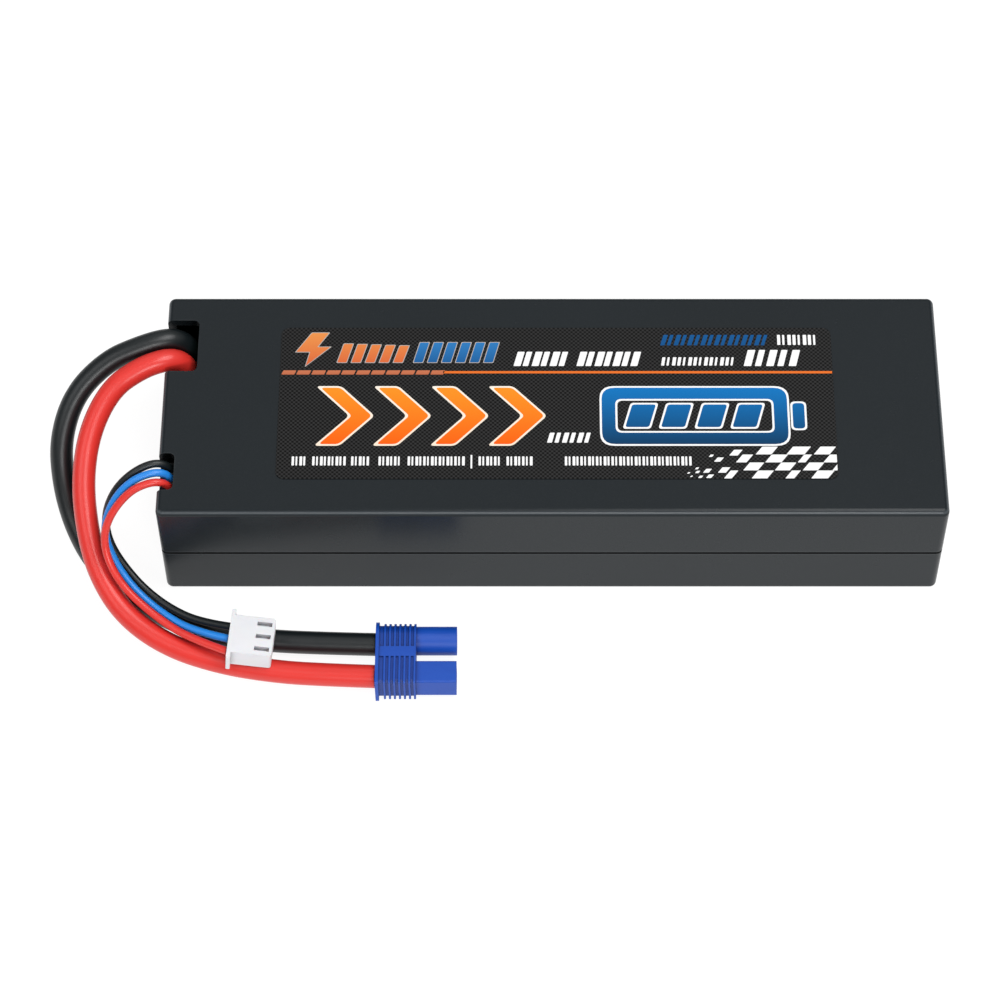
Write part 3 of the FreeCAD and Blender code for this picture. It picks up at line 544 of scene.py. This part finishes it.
# ================================================================ leads
def smooth_curve(name, points, diameter, material):
    """Open quadratic NURBS tube whose control points are the route."""
    curve = bpy.data.curves.new(name, "CURVE")
    curve.dimensions = "3D"
    curve.bevel_depth = diameter / 2
    curve.bevel_resolution = 8
    curve.resolution_u = 24
    curve.use_fill_caps = True
    spline = curve.splines.new("NURBS")
    spline.points.add(len(points) - 1)
    for point, place in zip(spline.points, points):
        point.co = (place[0] * MM, place[1] * MM, place[2] * MM, 1.0)
    spline.order_u = 3
    spline.use_endpoint_u = True
    curve.materials.append(material)
    piece = bpy.data.objects.new(name, curve)
    bpy.context.collection.objects.link(piece)
    return piece


def build_leads(materials):
    """Five free leads drawn as tubes along their routes, each in place of its hidden CAD node."""
    for name, (diameter, length, leaves_at, material) in LEAD_FACTS.items():
        lead = smooth_curve(name + "_cord", LEADS[name], diameter, materials[material])
        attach(lead, "root")
        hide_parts(name)


# ================================================================ flat print
def rounded(points, radius, steps=5):
    """Polygon with each corner rounded by an arc-like curve."""
    result = []
    count = len(points)
    for index in range(count):
        corner = Vector(points[index])
        before = Vector(points[index - 1]) - corner
        after = Vector(points[(index + 1) % count]) - corner
        trim = min(radius, 0.45 * before.length, 0.45 * after.length)
        start = corner + before.normalized() * trim
        end = corner + after.normalized() * trim
        for step in range(steps + 1):
            t = step / steps
            result.append(tuple(start * (1 - t) ** 2 + corner * 2 * t * (1 - t)
                                + end * t ** 2))
    return result


def grown(points, distance):
    """Polygon with each side moved outward; points run anticlockwise."""
    result = []
    count = len(points)
    for index in range(count):
        corner = Vector(points[index])
        side_in = (corner - Vector(points[index - 1])).normalized()
        side_out = (Vector(points[(index + 1) % count]) - corner).normalized()
        normal_in = Vector((side_in.y, -side_in.x))
        normal_out = Vector((side_out.y, -side_out.x))
        bisector = (normal_in + normal_out).normalized()
        reach = distance / max(0.35, bisector.dot(normal_in))
        result.append(tuple(corner + bisector * reach))
    return result


def slanted_box(x_min, x_max, y_min, y_max, slant=0.0):
    """Box, or a parallelogram that leans right by slant over its height."""
    return [(x_min, y_min), (x_max, y_min), (x_max + slant, y_max),
            (x_min + slant, y_max)]


def print_piece(name, outlines, material, height):
    """Thin raised print from closed outlines; an outline inside another is a hole."""
    curve = bpy.data.curves.new(name, "CURVE")
    curve.dimensions = "2D"
    curve.fill_mode = "BOTH"
    curve.extrude = height / 2
    for outline in outlines:
        spline = curve.splines.new("POLY")
        spline.points.add(len(outline) - 1)
        for point, (x, y) in zip(spline.points, outline):
            point.co = (x * MM, y * MM, 0.0, 1.0)
        spline.use_cyclic_u = True
    source = bpy.data.objects.new(name + "_outline", curve)
    bpy.context.collection.objects.link(source)
    bpy.context.view_layer.update()
    mesh = bpy.data.meshes.new_from_object(source)
    bpy.data.objects.remove(source)
    for vertex in mesh.vertices:
        vertex.co.z += LABEL_TOP + height / 2
    mesh.name = name
    mesh.materials.clear()
    mesh.materials.append(material)
    piece = bpy.data.objects.new(name, mesh)
    bpy.context.collection.objects.link(piece)
    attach(piece, "root")
    return piece


def strokes(x_min, x_max, y_min, y_max, pitch, widths, lean):
    """Row of strokes at one pitch; their widths repeat in turn."""
    shapes = []
    slant = lean * (y_max - y_min)
    for index in range(round((x_max - x_min) / pitch)):
        left = x_min + index * pitch
        width = widths[index % len(widths)]
        shapes.append(rounded(slanted_box(left, left + width, y_min, y_max, slant), 0.12, 2))
    return shapes


def chevron(x_left, width, y_min, y_max, stroke):
    """Arrow-shaped stripe that points right."""
    middle = (y_min + y_max) / 2
    return [(x_left, y_min), (x_left + stroke, y_min), (x_left + width, middle),
            (x_left + stroke, y_max), (x_left, y_max),
            (x_left + width - stroke, middle)]


def build_chevrons(materials):
    """Row of orange chevrons with pale outlines."""
    fills = []
    outlines = []
    for index in range(CHEVRON_COUNT):
        shape = chevron(CHEVRON_LEFT + index * CHEVRON_PITCH, CHEVRON_WIDTH, *FIGURE_Y,
                        CHEVRON_STROKE)
        fills.append(rounded(shape, 0.7))
        outlines.append(rounded(grown(shape, OUTLINE), 0.8))
    print_piece("print_chevron_outlines", outlines, materials["ink_cream"], INK_UNDER)
    print_piece("print_chevrons", fills, materials["ink_orange"], INK_OVER)


def build_charge_icon(materials):
    """Large battery pictogram in blue with white outlines."""
    frame_outer = slanted_box(*ICON_X, *FIGURE_Y)
    frame_inner = grown(frame_outer, -ICON_WALL)
    nub = slanted_box(*ICON_NUB_X, *ICON_NUB_Y)
    fills = [rounded(frame_outer, 2.4), rounded(frame_inner, 1.2), rounded(nub, 0.7)]
    outlines = [rounded(grown(frame_outer, OUTLINE), 2.6),
                rounded(grown(frame_inner, -OUTLINE), 1.0),
                rounded(grown(nub, OUTLINE), 0.9)]
    for index in range(ICON_BAR_COUNT):
        left = ICON_BAR_LEFT + index * ICON_BAR_PITCH
        bar = slanted_box(left, left + ICON_BAR_WIDTH, *ICON_BAR_Y, ICON_BAR_SLANT)
        fills.append(rounded(bar, 0.5))
        outlines.append(rounded(grown(bar, OUTLINE), 0.6))
    print_piece("print_charge_outlines", outlines, materials["ink_white"], INK_UNDER)
    print_piece("print_charge_icon", fills, materials["ink_blue"], INK_OVER)


def emblem_bars(first_left, count, first_top, step_down):
    """Group of leaning bars on the emblem's base line."""
    bars = []
    for index in range(count):
        left = first_left + index * EMBLEM_PITCH
        bars.append(slanted_box(left, left + EMBLEM_WIDTH, EMBLEM_BASE,
                                first_top - step_down * index, EMBLEM_SLANT))
    return bars


def build_emblem(materials):
    """Generic bolt and two groups of leaning bars."""
    orange = [BOLT] + emblem_bars(*ORANGE_BARS)
    blue = emblem_bars(*BLUE_BARS)
    edges = [grown(shape, THIN_OUTLINE) for shape in orange + blue]
    for name, shapes, material, height in (
            ("print_emblem_outlines", edges, "ink_emblem_edge", INK_UNDER),
            ("print_emblem_orange", orange, "ink_emblem", INK_OVER),
            ("print_emblem_blue", blue, "ink_blue_emblem", INK_OVER)):
        print_piece(name, [rounded(shape, 0.2, 3) for shape in shapes],
                    materials[material], height)


def build_rule(materials):
    """Thin line across the label, with a dashed heavy start."""
    print_piece("print_rule", [slanted_box(*RULE_X, *RULE_Y)], materials["ink_line"], INK_OVER)
    dashes = []
    for index in range(DASH_COUNT):
        left = DASH_LEFT + index * DASH_PITCH
        dashes.append(rounded(slanted_box(left, left + DASH_LENGTH, *DASH_Y, DASH_SLANT), 0.12, 2))
    print_piece("print_rule_dashes", dashes, materials["ink_dash"], INK_OVER)


def build_small_print(materials):
    """Bar patterns in the places of the small print; no lettering."""
    white = []
    for row in WHITE_ROWS:
        white += strokes(*row)
    for x_min, x_max in FINE_GROUPS:
        white += strokes(x_min, x_max, *FINE_Y, FINE_PITCH, FINE_WIDTHS, 0.0)
    white.append(slanted_box(*DIVIDER_X, *DIVIDER_Y))
    print_piece("print_small_white", white, materials["ink_white"], INK_OVER)
    print_piece("print_small_blue", strokes(*BLUE_ROW), materials["ink_blue_small"], INK_OVER)


def check_cell(x_min, x_max, y_min):
    """One leaning check, cut off at the label's edge."""
    top = min(x_max + CHECK_LEAN, CHECK_RIGHT)
    if x_min + CHECK_LEAN >= top:
        return [(x_min, y_min), (x_max, y_min), (top, y_min + CHECK_ROW_HEIGHT * 0.8)]
    return [(x_min, y_min), (x_max, y_min), (top, y_min + CHECK_ROW_HEIGHT),
            (x_min + CHECK_LEAN, y_min + CHECK_ROW_HEIGHT)]


def build_checks(materials):
    """Leaning racing checks that break up towards the left."""
    shapes = []
    for row, cells in enumerate(CHECK_ROWS):
        for x_min, x_max in cells:
            cell = check_cell(x_min, x_max, CHECK_BASE_Y + row * CHECK_ROW_HEIGHT)
            shapes.append(rounded(grown(cell, -CHECK_GAP), 0.08, 2))
    for left, y_min, size in CHECK_BITS:
        bit = slanted_box(left, left + size, y_min, y_min + size * BIT_HEIGHT, size * BIT_SLANT)
        shapes.append(rounded(bit, 0.08, 2))
    print_piece("print_checks", shapes, materials["ink_white"], INK_OVER)


def build_label_print(materials):
    """All print on the label."""
    build_emblem(materials)
    build_rule(materials)
    build_chevrons(materials)
    build_charge_icon(materials)
    build_small_print(materials)
    build_checks(materials)


# ================================================================ carried-over nodes
def paint_nodes(materials):
    """Give every CAD node the material of its record slot."""
    for entry in frame["record"]["subparts"]:
        mesh = nodes[entry["node"]].data
        mesh.materials.clear()
        mesh.materials.append(materials[entry["material_slot"]])


# ================================================================ studio
def build_floor():
    """Pale floor just under the pack."""
    mesh = bpy.data.meshes.new("studio_floor")
    half = FLOOR_HALF_SIZE
    mesh.from_pydata([(-half, -half, 0), (half, -half, 0), (half, half, 0), (-half, half, 0)],
                     [], [(0, 1, 2, 3)])
    mesh.materials.append(floor_material())
    floor = bpy.data.objects.new("studio_floor", mesh)
    floor.location.z = -FLOOR_DROP
    bpy.context.collection.objects.link(floor)


def add_area_light(name, place, target, width, height, power):
    """White rectangular softbox that faces a target."""
    light = bpy.data.lights.new(name, "AREA")
    light.shape = "RECTANGLE"
    light.size = width
    light.size_y = height
    light.energy = power
    lamp = bpy.data.objects.new(name, light)
    lamp.location = place
    direction = Vector(target) - Vector(place)
    lamp.rotation_euler = direction.to_track_quat("-Z", "Y").to_euler()
    bpy.context.collection.objects.link(lamp)


def build_lights():
    """Even white surroundings and the softboxes."""
    scene = bpy.context.scene
    world = bpy.data.worlds.new("studio")
    scene.world = world
    world.use_nodes = True
    background = world.node_tree.nodes["Background"]
    background.inputs["Color"].default_value = (1.0, 1.0, 1.0, 1.0)
    background.inputs["Strength"].default_value = WORLD_STRENGTH
    for name, settings in LIGHTS.items():
        add_area_light(name, *settings)
    scene.view_settings.view_transform = "Standard"


def build_camera():
    """Camera in front of the pack, looking down on it."""
    camera = bpy.data.cameras.new("camera")
    camera.lens = CAMERA_LENS
    camera.sensor_width = CAMERA_SENSOR
    camera.shift_x = CAMERA_SHIFT_X
    camera.clip_start = CAMERA_CLIP_START
    holder = bpy.data.objects.new("camera", camera)
    offset = Vector((0, -math.cos(CAMERA_ELEVATION), math.sin(CAMERA_ELEVATION)))
    holder.location = CAMERA_TARGET + offset * CAMERA_DISTANCE
    holder.rotation_euler = (math.pi / 2 - CAMERA_ELEVATION, 0, 0)
    bpy.context.collection.objects.link(holder)
    bpy.context.scene.camera = holder


build_camera()
build_lights()
build_floor()
all_materials = build_materials()
paint_nodes(all_materials)
build_leads(all_materials)
build_label_print(all_materials)

bpy.context.view_layer.update()
